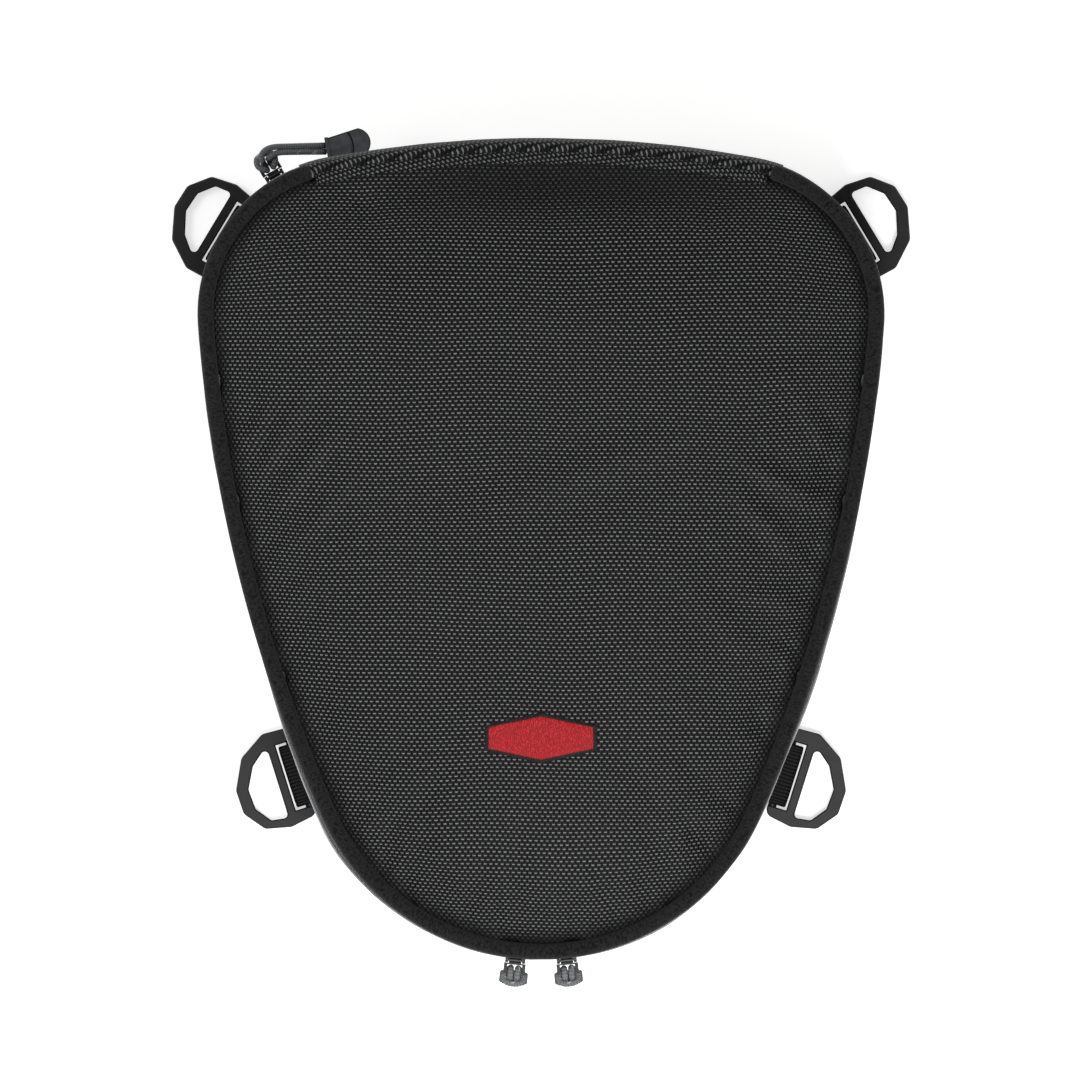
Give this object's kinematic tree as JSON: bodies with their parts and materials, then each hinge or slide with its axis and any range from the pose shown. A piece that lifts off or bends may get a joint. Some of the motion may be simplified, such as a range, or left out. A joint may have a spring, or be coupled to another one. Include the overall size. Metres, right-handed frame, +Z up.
{
  "type": "motorcycle tank bag",
  "caption": "Expandable strap-mounted tank bag with a zipped domed lid, padded walls, a reflective band and moulded D-rings.",
  "frame": {"origin": "on the underside of the base, on the mirror plane, midway between nose and rear", "axes": "+Z up through the lid, -Y towards the narrow nose, +Y towards the wide rear, +X to the right seen from above with the nose down"},
  "size_m": [0.2864, 0.3333, 0.1145],
  "materials": {
    "ballistic_nylon": "matte",
    "binding_tape": "matte",
    "lining_cloth": "matte",
    "closed_cell_foam": "matte",
    "stiffener_sheet": "matte",
    "grip_sheet": "matte",
    "zip_tape": "matte",
    "zip_coil": "satin",
    "painted_zinc": "satin",
    "braided_cord": "matte",
    "pull_rubber": "matte",
    "moulded_acetal": "satin",
    "webbing": "matte",
    "reflective_tape": "satin",
    "embroidery": "satin"
  },
  "bodies": {
    "lower_bag": {"base_panel": "grip_sheet", "base_board": "stiffener_sheet", "lower_wall_fabric": "ballistic_nylon", "lower_wall_foam": "closed_cell_foam", "lower_wall_lining": "lining_cloth", "expansion_zip_tape_lower": "zip_tape", "expansion_zip_coil_lower": "zip_coil", "expansion_gusset": "lining_cloth", "expansion_zip_end_tab": "ballistic_nylon", "webbing_tab_rear_right": "webbing", "webbing_tab_rear_left": "webbing", "webbing_tab_front_right": "webbing", "webbing_tab_front_left": "webbing"},
    "upper_bag": {"upper_wall_fabric": "ballistic_nylon", "upper_wall_foam": "closed_cell_foam", "upper_wall_lining": "lining_cloth", "reflective_band": "reflective_tape", "expansion_zip_tape_upper": "zip_tape", "expansion_zip_coil_upper": "zip_coil", "main_zip_tape_lower": "zip_tape", "main_zip_coil_lower": "zip_coil", "rear_hinge_panel": "ballistic_nylon"},
    "lid": {"lid_panel": "ballistic_nylon", "lid_foam": "closed_cell_foam", "lid_lining": "lining_cloth", "lid_binding": "binding_tape", "lid_rear_roll": "ballistic_nylon", "main_zip_tape_upper": "zip_tape", "main_zip_coil_upper": "zip_coil", "badge": "embroidery"},
    "main_left_slider": {"main_left_slider": "painted_zinc"},
    "main_left_pull": {"main_left_puller_tab": "painted_zinc", "main_left_pull_cord": "braided_cord", "main_left_pull_grip": "pull_rubber"},
    "main_right_slider": {"main_right_slider": "painted_zinc"},
    "main_right_pull": {"main_right_puller_tab": "painted_zinc", "main_right_pull_cord": "braided_cord", "main_right_pull_grip": "pull_rubber"},
    "expansion_slider": {"expansion_slider": "painted_zinc"},
    "expansion_pull": {"expansion_puller_tab": "painted_zinc", "expansion_pull_cord": "braided_cord", "expansion_pull_grip": "pull_rubber"},
    "d_ring_rear_right": {"d_ring_rear_right": "moulded_acetal"},
    "d_ring_rear_left": {"d_ring_rear_left": "moulded_acetal"},
    "d_ring_front_right": {"d_ring_front_right": "moulded_acetal"},
    "d_ring_front_left": {"d_ring_front_left": "moulded_acetal"}
  },
  "joints": [
    {"name": "expansion_lift", "type": "slide", "parent": "lower_bag", "child": "upper_bag", "axis": [0, 0, 1], "range_m": [0, 0.03], "deforming": ["expansion_gusset"]},
    {"name": "lid_hinge", "type": "hinge", "parent": "upper_bag", "child": "lid", "pos_m": [0, 0.1582, 0.093], "axis": [-1, 0, 0], "range_deg": [0, 100]},
    {"name": "main_left_slider_travel", "type": "hinge", "parent": "upper_bag", "child": "main_left_slider", "pos_m": [0, -0.0673, 0.091], "axis": [0, 0, -1], "range_deg": [0, 50]},
    {"name": "main_left_pull_swing", "type": "hinge", "parent": "main_left_slider", "child": "main_left_pull", "pos_m": [-0.00998, -0.16067, 0.091], "axis": [-0.9943, 0.1063, 0], "range_deg": [0, 55]},
    {"name": "main_right_slider_travel", "type": "hinge", "parent": "upper_bag", "child": "main_right_slider", "pos_m": [0, -0.0673, 0.091], "axis": [0, 0, 1], "range_deg": [0, 50]},
    {"name": "main_right_pull_swing", "type": "hinge", "parent": "main_right_slider", "child": "main_right_pull", "pos_m": [0.00998, -0.16067, 0.091], "axis": [-0.9943, -0.1063, 0], "range_deg": [0, 55]},
    {"name": "expansion_slider_travel", "type": "hinge", "parent": "lower_bag", "child": "expansion_slider", "pos_m": [-0.07243, 0.09, 0.046], "axis": [0, 0, 1], "range_deg": [0, 50]},
    {"name": "expansion_pull_swing", "type": "hinge", "parent": "expansion_slider", "child": "expansion_pull", "pos_m": [-0.10348, 0.14378, 0.046], "axis": [0.866, 0.5, 0], "range_deg": [0, 60]},
    {"name": "d_ring_rear_right_swing", "type": "hinge", "parent": "lower_bag", "child": "d_ring_rear_right", "pos_m": [0.11974, 0.11924, 0.0032], "axis": [0.515, -0.8572, 0], "range_deg": [-40, 70]},
    {"name": "d_ring_rear_left_swing", "type": "hinge", "parent": "lower_bag", "child": "d_ring_rear_left", "pos_m": [-0.11974, 0.11924, 0.0032], "axis": [0.515, 0.8572, 0], "range_deg": [-40, 70]},
    {"name": "d_ring_front_right_swing", "type": "hinge", "parent": "lower_bag", "child": "d_ring_front_right", "pos_m": [0.09354, -0.0883, 0.0032], "axis": [-0.3007, -0.9537, 0], "range_deg": [-40, 70]},
    {"name": "d_ring_front_left_swing", "type": "hinge", "parent": "lower_bag", "child": "d_ring_front_left", "pos_m": [-0.09354, -0.0883, 0.0032], "axis": [-0.3007, 0.9537, 0], "range_deg": [-40, 70]}
  ]
}
